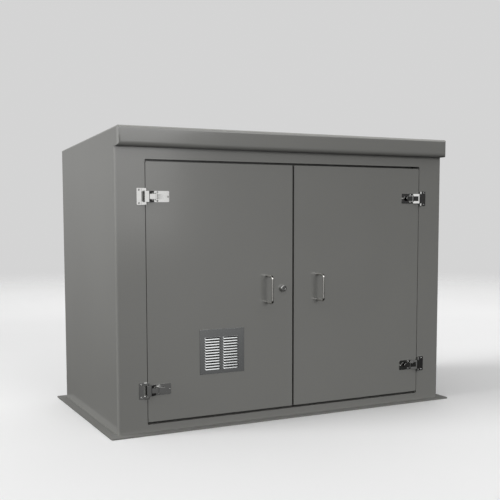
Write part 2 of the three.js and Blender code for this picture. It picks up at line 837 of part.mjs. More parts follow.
// A small tap, pointing at the doors, where a gauge is connected for the yearly test.
function testCock(x, surface) {
  const at = (out) => [x, PIPE_Y - surface - out, PIPE_Z];
  const middle = (COCK.hexagonFrom + COCK.hexagonEnd) / 2;
  const noseEnd = COCK.hexagonEnd + COCK.noseLong;
  const spindle = at(middle);
  return join(
    rod(COCK.shank, at(GAP), at(COCK.shankEnd)),
    rod(COCK.hexagon, at(COCK.hexagonFrom), at(COCK.hexagonEnd), 6),
    rod(COCK.nose, at(COCK.hexagonEnd - 2), at(noseEnd)),
    rod(COCK.spindle, spindle, [x, spindle[1], PIPE_Z + COCK.hexagon + COCK.spindleOver]),
  ).subtract(rod(COCK.nose / 2, at(COCK.hexagonEnd - 4), at(noseEnd + 1), ROUND_SMALL));
}

// Catches what the relief valve drops, below an air gap, and leads it to the ground.
function drainFunnel() {
  const outer = [
    [FUNNEL.throat, 0],
    [FUNNEL.throat, PIPE_Z + FUNNEL.throatZ],
    [FUNNEL.lip, PIPE_Z + FUNNEL.lipZ],
  ];
  const inner = outer.map(([radius, z]) => [radius - FUNNEL.wall, z]).reverse();
  const profile = [...outer, ...inner, outer[0]].map(([radius, z]) => new THREE.Vector2(radius, z));
  const funnel = new THREE.LatheGeometry(profile, ROUND_LARGE);
  funnel.rotateX(Math.PI / 2);
  funnel.translate(0, PIPE_Y, 0);
  return solidOf(funnel);
}

// ---- the whole object ----

addPiece("cabinet_shell", cabinetShell(), materials.coating);
addPiece("insulation_liner", insulationLiner(), materials.foam);
addPiece("door_seal", doorSeal(), materials.rubber);
addPiece("centre_post", centrePost(), materials.galvanised);

addPiece("left_door_skin", cut(doorSkin(-1), ventHole(), lockHole(10)), materials.coating);
addPiece("left_door_core", cut(doorCore(-1), ventHole(), lockHole(11)), materials.foam);
addPiece("right_door_skin", doorSkin(1), materials.coating);
addPiece("right_door_core", doorCore(1), materials.foam);

addPiece("vent_grille", ventGrille(), materials.stainless);
addPiece("vent_mesh", ventMesh(), materials.stainless);
addPiece("left_handle", handle(LEFT_HANDLE_X), materials.stainless);
addPiece("right_handle", handle(RIGHT_HANDLE_X), materials.stainless);
addPiece("lock_body", lockBody(), materials.stainless);
addPiece("lock_plug", lockPlug(), materials.stainless);
addPiece("lock_nut", lockNut(), materials.galvanised);
addPiece("lock_cam", lockCam(), materials.galvanised);
addPiece("meeting_buffer_upper", buffer(BUFFER_HEIGHTS.upper), materials.rubber);
addPiece("meeting_buffer_lower", buffer(BUFFER_HEIGHTS.lower), materials.rubber);
addPiece("right_bolt_upper", slideBolt(BOLT_TOP, 1), materials.galvanised);
addPiece("right_bolt_lower", slideBolt(BOLT_BOTTOM, -1), materials.galvanised);
addPiece("bolt_bracket_upper", boltBracket(BOLT_TOP, 1), materials.galvanised);
addPiece("bolt_bracket_lower", boltBracket(BOLT_BOTTOM, -1), materials.galvanised);

for (const level of Object.keys(LATCH_HEIGHTS)) {
  addLatch("left", -1, level);
  addLatch("right", 1, level);
}

for (const [name, side] of [["inlet", -1], ["outlet", 1]]) {
  addPiece(`${name}_riser`, riser(side), materials.pipe);
  addPiece(`${name}_valve_body`, valveBody(side), materials.bronze);
  addPiece(`${name}_valve_stem`, valveStem(side), materials.stainless);
  addPiece(`${name}_valve_lever`, valveLever(side), materials.lever);
}
addPiece("backflow_body", backflowBody(), materials.bronze);
addPiece("first_check_cover", checkCover(-CHECK.x), materials.bronze);
addPiece("second_check_cover", checkCover(CHECK.x), materials.bronze);
addPiece("first_check_poppet", checkPoppet(-CHECK.x), materials.plastic);
addPiece("second_check_poppet", checkPoppet(CHECK.x), materials.plastic);
addPiece("relief_valve_cover", reliefCover(), materials.bronze);
addPiece("relief_valve_disc", reliefDisc(), materials.plastic);
addPiece("drain_funnel", drainFunnel(), materials.plastic);
const cockAside = 170;
const cocks = [
  [-VALVE.x, VALVE.belly],
  [-cockAside, BODY.barrel],
  [0, BODY.barrel],
  [cockAside, BODY.barrel],
];
cocks.forEach(([x, surface], i) => {
  addPiece(`test_cock_${i + 1}`, testCock(x, surface), materials.bronze);
});

export default cabinet;
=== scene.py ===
import json
import math

import bmesh
import bpy
from mathutils import Matrix, Vector


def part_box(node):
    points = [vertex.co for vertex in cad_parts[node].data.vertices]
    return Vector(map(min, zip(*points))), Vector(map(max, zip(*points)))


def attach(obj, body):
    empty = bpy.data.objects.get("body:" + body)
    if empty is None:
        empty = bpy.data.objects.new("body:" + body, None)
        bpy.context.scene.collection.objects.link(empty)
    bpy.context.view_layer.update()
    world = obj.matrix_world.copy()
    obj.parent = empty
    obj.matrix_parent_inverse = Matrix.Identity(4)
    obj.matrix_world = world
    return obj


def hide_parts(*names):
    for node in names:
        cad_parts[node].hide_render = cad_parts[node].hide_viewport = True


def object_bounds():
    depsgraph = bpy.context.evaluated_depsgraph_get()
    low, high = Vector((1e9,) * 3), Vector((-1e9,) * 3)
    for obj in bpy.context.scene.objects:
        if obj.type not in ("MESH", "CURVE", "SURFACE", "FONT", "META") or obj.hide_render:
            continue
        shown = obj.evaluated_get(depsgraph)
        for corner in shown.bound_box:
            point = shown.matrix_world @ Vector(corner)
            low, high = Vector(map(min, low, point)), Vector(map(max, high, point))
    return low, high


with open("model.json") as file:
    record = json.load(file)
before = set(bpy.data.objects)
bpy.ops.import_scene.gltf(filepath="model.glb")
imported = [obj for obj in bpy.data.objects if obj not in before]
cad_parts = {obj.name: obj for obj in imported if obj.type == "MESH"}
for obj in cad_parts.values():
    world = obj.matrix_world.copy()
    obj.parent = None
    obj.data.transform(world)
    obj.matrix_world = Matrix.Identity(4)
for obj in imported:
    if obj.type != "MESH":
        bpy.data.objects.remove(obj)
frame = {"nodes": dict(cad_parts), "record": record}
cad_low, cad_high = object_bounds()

MM = 0.001
NODES = frame["nodes"]
RECORD = frame["record"]
BODY_OF = {node: body for body, nodes in RECORD["behaviour"]["bodies"].items() for node in nodes}
SLOT_OF = {part["node"]: part["material_slot"] for part in RECORD["subparts"]}


# ---- node graphs ----


class Graph:
    """A node tree with one short call for each kind of node used here."""

    def __init__(self, tree):
        self.tree = tree
        tree.nodes.clear()

    def node(self, kind, inputs=None, **settings):
        made = self.tree.nodes.new(kind)
        for key, value in settings.items():
            setattr(made, key, value)
        for key, value in (inputs or {}).items():
            if isinstance(value, bpy.types.NodeSocket):
                self.tree.links.new(value, made.inputs[key])
            else:
                made.inputs[key].default_value = value
        return made

    def math(self, operation, first, second):
        return self.node("ShaderNodeMath", {0: first, 1: second}, operation=operation).outputs[0]

    def remap(self, value, source, target, smooth=False):
        kind = "SMOOTHSTEP" if smooth else "LINEAR"
        inputs = {0: value, 1: source[0], 2: source[1], 3: target[0], 4: target[1]}
        return self.node("ShaderNodeMapRange", inputs, interpolation_type=kind).outputs[0]

    def mix(self, factor, first, second, blend="MIX"):
        inputs = {0: factor, 6: first, 7: second}
        made = self.node("ShaderNodeMix", inputs, data_type="RGBA", blend_type=blend)
        return made.outputs[2]

    def place(self, stretch=(1, 1, 1)):
        """Coordinates that stay with the piece, in metres, stretched along each axis."""
        source = self.node("ShaderNodeTexCoord").outputs["Object"]
        return self.node("ShaderNodeMapping", {"Vector": source, "Scale": stretch}).outputs[0]

    def noise(self, scale, detail=4.0, roughness=0.5, stretch=(1, 1, 1)):
        inputs = {
            "Vector": self.place(stretch),
            "Scale": scale,
            "Detail": detail,
            "Roughness": roughness,
        }
        return self.node("ShaderNodeTexNoise", inputs).outputs[0]

    def cells(self, scale):
        return self.node("ShaderNodeTexVoronoi", {"Vector": self.place(), "Scale": scale})

    def bump(self, height, depth):
        inputs = {"Height": height, "Strength": 1.0, "Distance": depth}
        return self.node("ShaderNodeBump", inputs).outputs[0]


def srgb(red, green, blue):
    """A display colour, 0 to 255, as the linear colour that nodes work in."""
    def linear(value):
        value /= 255
        return value / 12.92 if value <= 0.04045 else ((value + 0.055) / 1.055) ** 2.4

    return (linear(red), linear(green), linear(blue), 1.0)


def shaded(colour, factor):
    return (colour[0] * factor, colour[1] * factor, colour[2] * factor, 1.0)


MATERIALS = {}


def material(name):
    """Registers a function that wires a graph and returns the Principled node's inputs."""
    def register(build):
        made = bpy.data.materials.new(name)
        made.use_nodes = True
        graph = Graph(made.node_tree)
        shader = graph.node("ShaderNodeBsdfPrincipled", build(graph))
        graph.node("ShaderNodeOutputMaterial", {"Surface": shader.outputs[0]})
        MATERIALS[name] = made
        return build

    return register


# ---- materials ----


@material("gelcoat")
def gelcoat(g):
    """Semi-gloss warm grey moulded surface with a faint orange peel. Level faces are duller, where
    rain and dust lie, and edges that face partly up get a painted highlight: a paler grey."""
    tone = srgb(122, 122, 119)
    drift = g.remap(g.noise(1.6, 3), (0.3, 0.7), (0, 1))
    colour = g.mix(drift, shaded(tone, 0.97), shaded(tone, 1.03))
    speckle = g.remap(g.noise(420, 2), (0.35, 0.65), (0.985, 1.015))
    colour = g.mix(1.0, colour, speckle, "MULTIPLY")
    peel = g.noise(170, 2, 0.4)
    normal = g.node("ShaderNodeNewGeometry").outputs["Normal"]
    facing_up = g.node("ShaderNodeSeparateXYZ", {0: normal}).outputs[2]
    dull = g.remap(facing_up, (0.9, 0.99), (0, 1), smooth=True)
    # painted highlight: rounded edges that face partly up are painted paler grey, as if lit from above
    painted_edge_highlight = g.math("MULTIPLY", g.remap(facing_up, (0.15, 0.5), (0, 1)), g.math("SUBTRACT", 1.0, dull))
    colour = g.mix(painted_edge_highlight, colour, srgb(168, 168, 164))
    gloss = g.remap(g.noise(7, 4), (0.3, 0.7), (0.1, 0.13))
    return {
        "Base Color": colour,
        "Roughness": g.math("ADD", gloss, g.math("MULTIPLY", dull, 0.35)),
        "IOR": 1.5,
        "Specular IOR Level": g.remap(dull, (0, 1), (0.9, 0.3)),
        "Normal": g.bump(peel, 0.00002),
    }


@material("foam_board")
def foam_board(g):
    """Cream rigid foam with a fine closed-cell face."""
    tone = srgb(214, 206, 182)
    cell = g.cells(260).outputs[0]
    drift = g.remap(g.noise(5, 4), (0.3, 0.7), (0, 1))
    colour = g.mix(drift, shaded(tone, 0.88), shaded(tone, 1.04))
    pits = g.remap(cell, (0.0, 0.55), (0.82, 1.0))
    return {
        "Base Color": g.mix(1.0, colour, pits, "MULTIPLY"),
        "Roughness": 0.92,
        "Specular IOR Level": 0.2,
        "Normal": g.bump(cell, 0.0006),
    }


@material("rubber")
def rubber(g):
    tone = srgb(26, 27, 29)
    dust = g.remap(g.noise(60, 5, 0.6), (0.45, 0.8), (0, 0.35))
    return {
        "Base Color": g.mix(dust, tone, srgb(58, 57, 54)),
        "Roughness": g.remap(g.noise(200, 3), (0.3, 0.7), (0.6, 0.8)),
        "Normal": g.bump(g.noise(700, 3), 0.00015),
    }


@material("polished_steel")
def polished_steel(g):
    """Mirror-polished stainless steel with faint smears and hairlines."""
    smear = g.noise(55, 4, 0.6)
    hairline = g.noise(1, 2, 0.5, stretch=(2600, 2600, 60))
    haze = g.remap(smear, (0.4, 0.75), (0.05, 0.11))
    return {
        "Base Color": g.mix(g.remap(smear, (0.3, 0.7), (0, 1)), (0.5, 0.5, 0.49, 1), (0.55, 0.55, 0.54, 1)),
        "Metallic": 1.0,
        "Roughness": haze,
        "Normal": g.bump(hairline, 0.000004),
    }


@material("satin_steel")
def satin_steel(g):
    """Stainless sheet, brushed along its length."""
    grain = g.noise(1, 3, 0.6, stretch=(30, 1500, 1500))
    cloud = g.remap(g.noise(9, 3, 0.5), (0.3, 0.7), (0, 1))
    return {
        "Base Color": g.mix(cloud, (0.48, 0.49, 0.49, 1), (0.5, 0.51, 0.51, 1)),
        "Metallic": 1.0,
        "Roughness": g.remap(grain, (0.3, 0.7), (0.09, 0.13)),
        "Normal": g.bump(grain, 0.0000015),
    }


@material("drawn_bar")
def drawn_bar(g):
    """Bright drawn stainless bar, a little hazed where it is handled."""
    grain = g.noise(1, 3, 0.6, stretch=(1300, 1300, 40))
    handled = g.remap(g.noise(30, 4, 0.6), (0.4, 0.75), (0, 1))
    return {
        "Base Color": g.mix(handled, (0.62, 0.61, 0.58, 1), (0.68, 0.67, 0.64, 1)),
        "Metallic": 1.0,
        "Roughness": g.remap(grain, (0.3, 0.7), (0.1, 0.15)),
        "Normal": g.bump(grain, 0.000006),
    }


@material("galvanised")
def galvanised(g):
    """Zinc coating with its crystal spangle."""
    spangle = g.cells(70)
    shade = g.node("ShaderNodeSeparateColor", {0: spangle.outputs["Color"]}).outputs[0]
    tone = srgb(168, 172, 174)
    dull = g.remap(g.noise(25, 5, 0.6), (0.45, 0.8), (0, 0.6))
    colour = g.mix(shade, shaded(tone, 0.8), shaded(tone, 1.1))
    return {
        "Base Color": g.mix(dull, colour, srgb(132, 134, 134)),
        "Metallic": 0.85,
        "Roughness": g.remap(shade, (0, 1), (0.36, 0.56)),
        "Normal": g.bump(g.noise(260, 3), 0.00004),
    }


@material("cast_bronze")
def cast_bronze(g):
    """Sand-cast bronze: grainy, browner in the hollows and bright where it is rubbed."""
    tone = srgb(176, 128, 72)
    sand = g.noise(420, 5, 0.65)
    lump = g.noise(60, 3)
    curve = g.node("ShaderNodeNewGeometry").outputs["Pointiness"]
    worn = g.remap(curve, (0.5, 0.56), (0, 1), smooth=True)
    hollow = g.remap(curve, (0.5, 0.45), (0, 1), smooth=True)
    stain = g.remap(g.noise(18, 6, 0.65), (0.45, 0.75), (0, 1))
    colour = g.mix(stain, tone, srgb(128, 88, 50))
    colour = g.mix(g.math("MULTIPLY", hollow, 0.7), colour, srgb(84, 60, 38))
    colour = g.mix(g.math("MULTIPLY", worn, 0.6), colour, srgb(214, 170, 104))
    height = g.math("ADD", sand, lump)
    return {
        "Base Color": colour,
        "Metallic": 0.9,
        "Roughness": g.remap(sand, (0.3, 0.7), (0.42, 0.62)),
        "Normal": g.bump(height, 0.0005),
    }


@material("turned_bronze")
def turned_bronze(g):
    """Machined bronze with fine tool marks."""
    tone = srgb(196, 150, 88)
    marks = g.noise(1, 2, 0.5, stretch=(90, 90, 1800))
    stain = g.remap(g.noise(30, 5, 0.6), (0.5, 0.8), (0, 0.7))
    return {
        "Base Color": g.mix(stain, tone, srgb(140, 98, 56)),
        "Metallic": 1.0,
        "Roughness": g.remap(marks, (0.3, 0.7), (0.22, 0.36)),
        "Normal": g.bump(marks, 0.00002),
    }


@material("steel_pipe")
def steel_pipe(g):
    """Drawn pipe with a dull zinc bloom and streaks along its length."""
    streak = g.noise(1, 4, 0.6, stretch=(70, 70, 6))
    tone = srgb(158, 163, 166)
    bloom = g.remap(g.noise(22, 5, 0.6), (0.4, 0.75), (0, 1))
    colour = g.mix(g.remap(streak, (0.3, 0.7), (0, 1)), shaded(tone, 0.85), shaded(tone, 1.1))
    return {
        "Base Color": g.mix(g.math("MULTIPLY", bloom, 0.5), colour, srgb(186, 188, 186)),
        "Metallic": 0.8,
        "Roughness": g.remap(bloom, (0, 1), (0.34, 0.6)),
        "Normal": g.bump(g.noise(160, 3), 0.00006),
    }


@material("blue_vinyl")
def blue_vinyl(g):
    """Dipped vinyl grip, a little duller where it is handled."""
    tone = srgb(30, 84, 168)
    rub = g.remap(g.noise(45, 4, 0.6), (0.45, 0.75), (0, 1))
    return {
        "Base Color": g.mix(rub, tone, srgb(44, 98, 176)),
        "Roughness": g.remap(rub, (0, 1), (0.32, 0.5)),
        "Normal": g.bump(g.noise(500, 3), 0.00006),
    }


@material("moulded_plastic")
def moulded_plastic(g):
    """Dark moulded plastic with a fine spark-eroded grain."""
    tone = srgb(38, 42, 47)
    grain = g.cells(900).outputs[0]
    scuff = g.remap(g.noise(35, 5, 0.6), (0.5, 0.8), (0, 0.5))
    return {
        "Base Color": g.mix(scuff, tone, srgb(66, 70, 74)),
        "Roughness": g.remap(scuff, (0, 0.5), (0.42, 0.6)),
        "Normal": g.bump(grain, 0.00012),
    }


SLOT_LOOK = {
    "coating": "gelcoat",
    "foam": "foam_board",
    "rubber": "rubber",
    "stainless": "polished_steel",
    "galvanised": "galvanised",
    "bronze": "cast_bronze",
    "pipe": "steel_pipe",
    "lever": "blue_vinyl",
    "plastic": "moulded_plastic",
}


# ---- meshes ----


def add_piece(name, build, body, slot, look=None):
    """Makes a piece from a bmesh, gives it its material and lets it ride on a body."""
    mesh = bpy.data.meshes.new(name)
    build.to_mesh(mesh)
    build.free()
    mesh.shade_smooth()
    piece = bpy.data.objects.new(name, mesh)
    bpy.context.scene.collection.objects.link(piece)
    mesh.materials.append(MATERIALS[look or SLOT_LOOK[slot]])
    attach(piece, body)
    return piece


def soften(piece, width, segments=2, angle=32):
    """Rounds the sharp edges and evens out the normals."""
    bevel = piece.modifiers.new("edges", "BEVEL")
    bevel.width = width
    bevel.segments = segments
    bevel.limit_method = "ANGLE"
    bevel.angle_limit = math.radians(angle)
    normals = piece.modifiers.new("normals", "WEIGHTED_NORMAL")
    normals.keep_sharp = True


def smoothing_group():
    """A modifier that drops stored normals, joins the split vertices and shades smoothly."""
    group = bpy.data.node_groups.new("clean_surface", "GeometryNodeTree")
    for direction in ("INPUT", "OUTPUT"):
        group.interface.new_socket("Geometry", in_out=direction, socket_type="NodeSocketGeometry")
    graph = Graph(group)
    start = graph.node("NodeGroupInput").outputs[0]
    bare = graph.node("GeometryNodeRemoveAttribute", {"Geometry": start, "Name": "custom_normal"})
    merged = graph.node("GeometryNodeMergeByDistance", {"Geometry": bare.outputs[0], "Distance": 1e-5})
    smooth = graph.node("GeometryNodeSetShadeSmooth", {"Geometry": merged.outputs[0]})
    graph.node("NodeGroupOutput", {0: smooth.outputs[0]})
    return group


CLEAN = smoothing_group()


def refine(node, width, segments=2, look=None, angle=32):
    """Gives a CAD node its material and rounds its edges with modifiers only."""
    piece = NODES[node]
    clean = piece.modifiers.new("clean", "NODES")
    clean.node_group = CLEAN
    flat = piece.modifiers.new("flat", "DECIMATE")
    flat.decimate_type = "DISSOLVE"
    flat.angle_limit = math.radians(0.2)
    soften(piece, width, segments, angle)
    for slot in piece.material_slots:
        slot.material = MATERIALS[look or SLOT_LOOK[SLOT_OF[node]]]


def ring(build, points):
    return [build.verts.new(point) for point in points]


def bridge(build, first, second):
    """Faces between two rings with the same number of points."""
    for i in range(len(first)):
        j = (i + 1) % len(first)
        build.faces.new((first[i], first[j], second[j], second[i]))


def skin(build, rings):
    """Joins a stack of rings and closes both ends."""
    for first, second in zip(rings, rings[1:]):
        bridge(build, first, second)
    build.faces.new(rings[0])
    build.faces.new(rings[-1])
    bmesh.ops.recalc_face_normals(build, faces=build.faces)
    return build


def circle(radius, height, sides):
    turns = [2 * math.pi * i / sides for i in range(sides)]
    return [Vector((radius * math.cos(a), radius * math.sin(a), height)) for a in turns]


def lathe(profile, sides=64, closed=False):
    """A round body about z from (radius, height) pairs. A closed profile makes a tube."""
    build = bmesh.new()
    rings = [ring(build, circle(radius, height, sides)) for radius, height in profile]
    for first, second in zip(rings, rings[1:]):
        bridge(build, first, second)
    if closed:
        bridge(build, rings[-1], rings[0])
    else:
        build.faces.new(list(reversed(rings[0])))
        build.faces.new(rings[-1])
    bmesh.ops.recalc_face_normals(build, faces=build.faces)
    return build


def aim(axis, origin):
    """The matrix that takes +z to an axis and the origin to a point."""
    turn = Vector((0, 0, 1)).rotation_difference(Vector(axis))
    return Matrix.Translation(origin) @ turn.to_matrix().to_4x4()


def placed(build, matrix):
    bmesh.ops.transform(build, matrix=matrix, verts=build.verts)
    return build


def gather(builds):
    """One bmesh that holds copies of several."""
    whole = bmesh.new()
    for build in builds:
        mesh = bpy.data.meshes.new("part")
        build.to_mesh(mesh)
        build.free()
        whole.from_mesh(mesh)
        bpy.data.meshes.remove(mesh)
    return whole


def sweep(path, radii, side, sides=28, bore=None):
    """A round bar along a path in the plane square to side. With a bore it is a pipe."""
    build = bmesh.new()

    def rings_of(radius_at):
        rings = []
        for i, point in enumerate(path):
            along = (path[min(i + 1, len(path) - 1)] - path[max(i - 1, 0)]).normalized()
            across = along.cross(side)
            turns = [2 * math.pi * k / sides for k in range(sides)]
            spokes = [math.cos(a) * side + math.sin(a) * across for a in turns]
            rings.append(ring(build, [point + radius_at(i) * spoke for spoke in spokes]))
        for first, second in zip(rings, rings[1:]):
            bridge(build, first, second)
        return rings

    outer = rings_of(lambda i: radii[i])
    if bore is None:
        build.faces.new(outer[0])
        build.faces.new(outer[-1])
    else:
        inner = rings_of(lambda i: bore)
        bridge(build, outer[0], inner[0])
        bridge(build, outer[-1], inner[-1])
    bmesh.ops.recalc_face_normals(build, faces=build.faces)
    return build


def mm(*pairs):
    return [(first * MM, second * MM) for first, second in pairs]


def carved(first, others, operation="DIFFERENCE"):
    """A bmesh cut by others, or joined with them."""
    def stand_in(build):
        mesh = bpy.data.meshes.new("tool")
        build.to_mesh(mesh)
        build.free()
        made = bpy.data.objects.new("tool", mesh)
        bpy.context.scene.collection.objects.link(made)
        return made

    base = stand_in(first)
    tools = [stand_in(build) for build in others]
    for tool in tools:
        boolean = base.modifiers.new("boolean", "BOOLEAN")
        boolean.object = tool
        boolean.operation = operation
        boolean.solver = "EXACT"
    bpy.context.view_layer.update()
    shape = bpy.data.meshes.new_from_object(base.evaluated_get(bpy.context.evaluated_depsgraph_get()))
    result = bmesh.new()
    result.from_mesh(shape)
    bpy.data.meshes.remove(shape)
    for made in [base, *tools]:
        mesh = made.data
        bpy.data.objects.remove(made)
        bpy.data.meshes.remove(mesh)
    return result


# ---- fasteners ----


def socket_screw(radius, height):
    """A domed head with a hexagon socket, standing on z = 0."""
    sides = 24
    socket = 0.46 * radius

    def hexagon(level):
        points = circle(socket, level, sides)
        for i, point in enumerate(points):
            off = (i % 4 - 2) * math.pi / 12
            point.xy *= math.cos(math.pi / 6) / math.cos(off)
        return points

    build = bmesh.new()
    rings = [
        ring(build, circle(radius * 0.97, 0, sides)),
        ring(build, circle(radius, 0.12 * height, sides)),
        ring(build, circle(radius * 0.97, 0.4 * height, sides)),
        ring(build, circle(radius * 0.84, 0.75 * height, sides)),
        ring(build, circle(radius * 0.62, height, sides)),
        ring(build, hexagon(height)),
        ring(build, hexagon(0.4 * height)),
    ]
    return skin(build, rings)


def hexagon_prism(flats, height):
    """A nut or bolt head on z = 0 with its corners turned off."""
    sides = 24
    build = bmesh.new()
    corner = flats / 2 / math.cos(math.pi / 6)

    def outline(level, limit):
        points = []
        for i in range(sides):
            angle = 2 * math.pi * i / sides
            off = (i % 4 - 2) * math.pi / 12
            reach = min(flats / 2 / math.cos(off), limit)
            points.append(Vector((reach * math.cos(angle), reach * math.sin(angle), level)))
        return points

    levels = [
        (0, corner),
        (0.86 * height, corner),
        (0.93 * height, 0.97 * corner),
        (height, 0.9 * corner),
    ]
    return skin(build, [ring(build, outline(level, limit)) for level, limit in levels])


# ---- cabinet and doors ----


def cabinet():
    refine("cabinet_shell", 1.2 * MM, 2)
    refine("insulation_liner", 1.5 * MM)
    refine("door_seal", 0.6 * MM)
    refine("centre_post", 0.6 * MM)


def doors():
    for side in ("left", "right"):
        refine(f"{side}_door_skin", 1.3 * MM, 3)
        refine(f"{side}_door_core", 0.8 * MM)
    refine("meeting_buffer_upper", 0.8 * MM)
    refine("meeting_buffer_lower", 0.8 * MM)


def handle(side):
    """The D bar, with washers and nuts where its studs come through the door."""
    node = f"{side}_handle"
    low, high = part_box(node)
    radius = (high.x - low.x) / 2
    x = (low.x + high.x) / 2
    bend = 10 * MM
    steps = 10
    washer_radius, washer_thick = 9 * MM, 1.6 * MM
    nut_flats, nut_thick = 10 * MM, 5 * MM
    stud_radius, stud_end, stud_tip = 3 * MM, 9 * MM, (2.4 * MM, 9.6 * MM)
    turns = [i * math.pi / 2 / steps for i in range(steps + 1)]
    front = low.y + radius
    bottom = low.z + radius
    top = high.z - radius
    path = [Vector((x, high.y, bottom))]
    path += [
        Vector((x, front + bend - bend * math.sin(a), bottom + bend - bend * math.cos(a))) for a in turns
    ]
    path += [
        Vector((x, front + bend - bend * math.cos(a), top - bend + bend * math.sin(a))) for a in turns
    ]
    path.append(Vector((x, high.y, top)))
    shape = sweep(path, [radius] * len(path), Vector((1, 0, 0)))
    bar = add_piece(f"{side}_handle_bar", shape, BODY_OF[node], "stainless", "drawn_bar")
    soften(bar, 0.4 * MM, angle=60)
    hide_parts(node)
    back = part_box(f"{side}_door_core")[1].y
    fixings = []
    for z in (bottom, top):
        washer = lathe([(washer_radius, 0), (washer_radius, washer_thick)], 40)
        nut = placed(hexagon_prism(nut_flats, nut_thick), Matrix.Translation((0, 0, washer_thick)))
        stud = lathe([(stud_radius, 0), (stud_radius, stud_end), stud_tip], 24)
        for part in (washer, nut, stud):
            fixings.append(placed(part, aim((0, 1, 0), (x, back, z))))
    nuts = add_piece(f"{side}_handle_nuts", gather(fixings), BODY_OF[node], "galvanised")
    soften(nuts, 0.25 * MM, 1, 40)


def lock():
    """The round lock: a rimmed head, a threaded barrel, and the plug, nut and cam."""
    low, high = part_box("lock_body")
    middle = (low + high) / 2
    face = 13 * MM
    gap = 0.3 * MM
    head = 14 * MM - gap
    bore, barrel = 6.4 * MM, 9.5 * MM
    crest, root = 9.4 * MM, 8.9 * MM
    back = aim((0, 1, 0), (middle.x, low.y, middle.z))
    profile = [
        (bore, 0.9 * MM),
        (7.2 * MM, 0),
        (face - 2.2 * MM, 0),
        (face - 0.9 * MM, 0.5 * MM),
        (face, 2.2 * MM),
        (face, head),
        (barrel, head),
    ]
    threads = 22
    start, end = head + 1.3 * MM, high.y - low.y
    for i in range(threads):
        level = start + (end - start) * i / threads
        step = (end - start) / threads
        profile += [(crest, level), (root, level + step / 2)]
    profile += [(9.2 * MM, end), (bore, end)]
    body = add_piece("lock_barrel", placed(lathe(profile, 56, closed=True), back), "left_door", "stainless")
    soften(body, 0.2 * MM, 1, 40)
    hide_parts("lock_body")
    refine("lock_plug", 0.25 * MM)
    refine("lock_nut", 0.4 * MM)
    refine("lock_cam", 0.5 * MM)


def grille():
    """The pressed plate: every louvre is a hood closed at both ends and open below."""
    low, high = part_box("vent_grille")
    margin_left, margin_low, margin_high = 21 * MM, 15 * MM, 31 * MM
    wide, between = 66 * MM, 12 * MM
    count = 12
    sheet = 1.1 * MM
    front = high.y - 1.5 * MM
    bulge = front - low.y
    pitch = (high.z - margin_high - low.z - margin_low) / count
    tall = 0.84 * pitch
    end = 5 * MM
    across, down = 26, 12

    def spread(i):
        """Shares of the width, closer together at the two ends."""
        return 0.5 - 0.5 * math.cos(math.pi * i / across)

    def profile(share):
        """How far a hood stands out: steep above, and nearly upright below."""
        steep, upright, bend = 0.9, 0.2, 0.52
        full = steep * bend + upright * (1 - bend)
        return (steep * min(share, bend) + upright * max(share - bend, 0)) / full

    def height(x_in, share):
        nearest = min(x_in, wide - x_in) / end
        return bulge * math.sqrt(1 - (1 - min(nearest, 1)) ** 2) * profile(share)

    build = bmesh.new()
    columns = [low.x + margin_left, low.x + margin_left + wide + between]
    hold = 0.5 * MM  # lines that keep the plate flat right up to each hood
    sides = [x for c in columns for x in (c - hold, c + wide + hold)]
    rims = [low.x, low.x + hold, high.x - hold, high.x]
    xs = sorted({*rims, *sides, *[c + wide * spread(i) for c in columns for i in range(across + 1)]})
    tops = [high.z - margin_high - i * pitch - 0.08 * pitch for i in range(count)]
    levels = [z for t in tops for z in (t + hold, t - tall - hold)]
    rims = [low.z, low.z + hold, high.z - hold, high.z]
    zs = sorted({*rims, *levels, *[t - tall * k / down for t in tops for k in range(down + 1)]})
    grid = {}

    def corner(i, j, level=0.0):
        key = (i, j, round(level, 7))
        if key not in grid:
            grid[key] = build.verts.new((xs[i], front - level, zs[j]))
        return grid[key]

    def hood_at(x, z):
        for c in columns:
            if c - 1e-7 <= x <= c + wide + 1e-7:
                for t in tops:
                    if t - tall - 1e-7 <= z <= t + 1e-7:
                        return c, t
        return None

    for i in range(len(xs) - 1):
        for j in range(len(zs) - 1):
            hood = hood_at((xs[i] + xs[i + 1]) / 2, (zs[j] + zs[j + 1]) / 2)
            points = [(i, j), (i + 1, j), (i + 1, j + 1), (i, j + 1)]
            if hood is None:
                build.faces.new([corner(*p) for p in points])
            else:
                c, t = hood
                levels = [height(xs[a] - c, min(max((t - zs[b]) / tall, 0), 1)) for a, b in points]
                loop = []
                for (a, b), level in zip(points, levels):
                    vert = corner(a, b, level)
                    if vert not in loop:
                        loop.append(vert)
                build.faces.new(loop)
    bmesh.ops.recalc_face_normals(build, faces=build.faces)
    if build.faces[0].normal.y > 0:
        bmesh.ops.reverse_faces(build, faces=build.faces)
    plate = add_piece("vent_louvre_plate", build, "left_door", "stainless", "satin_steel")
    thick = plate.modifiers.new("sheet", "SOLIDIFY")
    thick.thickness = sheet
    thick.offset = -1
    normals = plate.modifiers.new("normals", "WEIGHTED_NORMAL")
    normals.keep_sharp = True
    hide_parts("vent_grille")


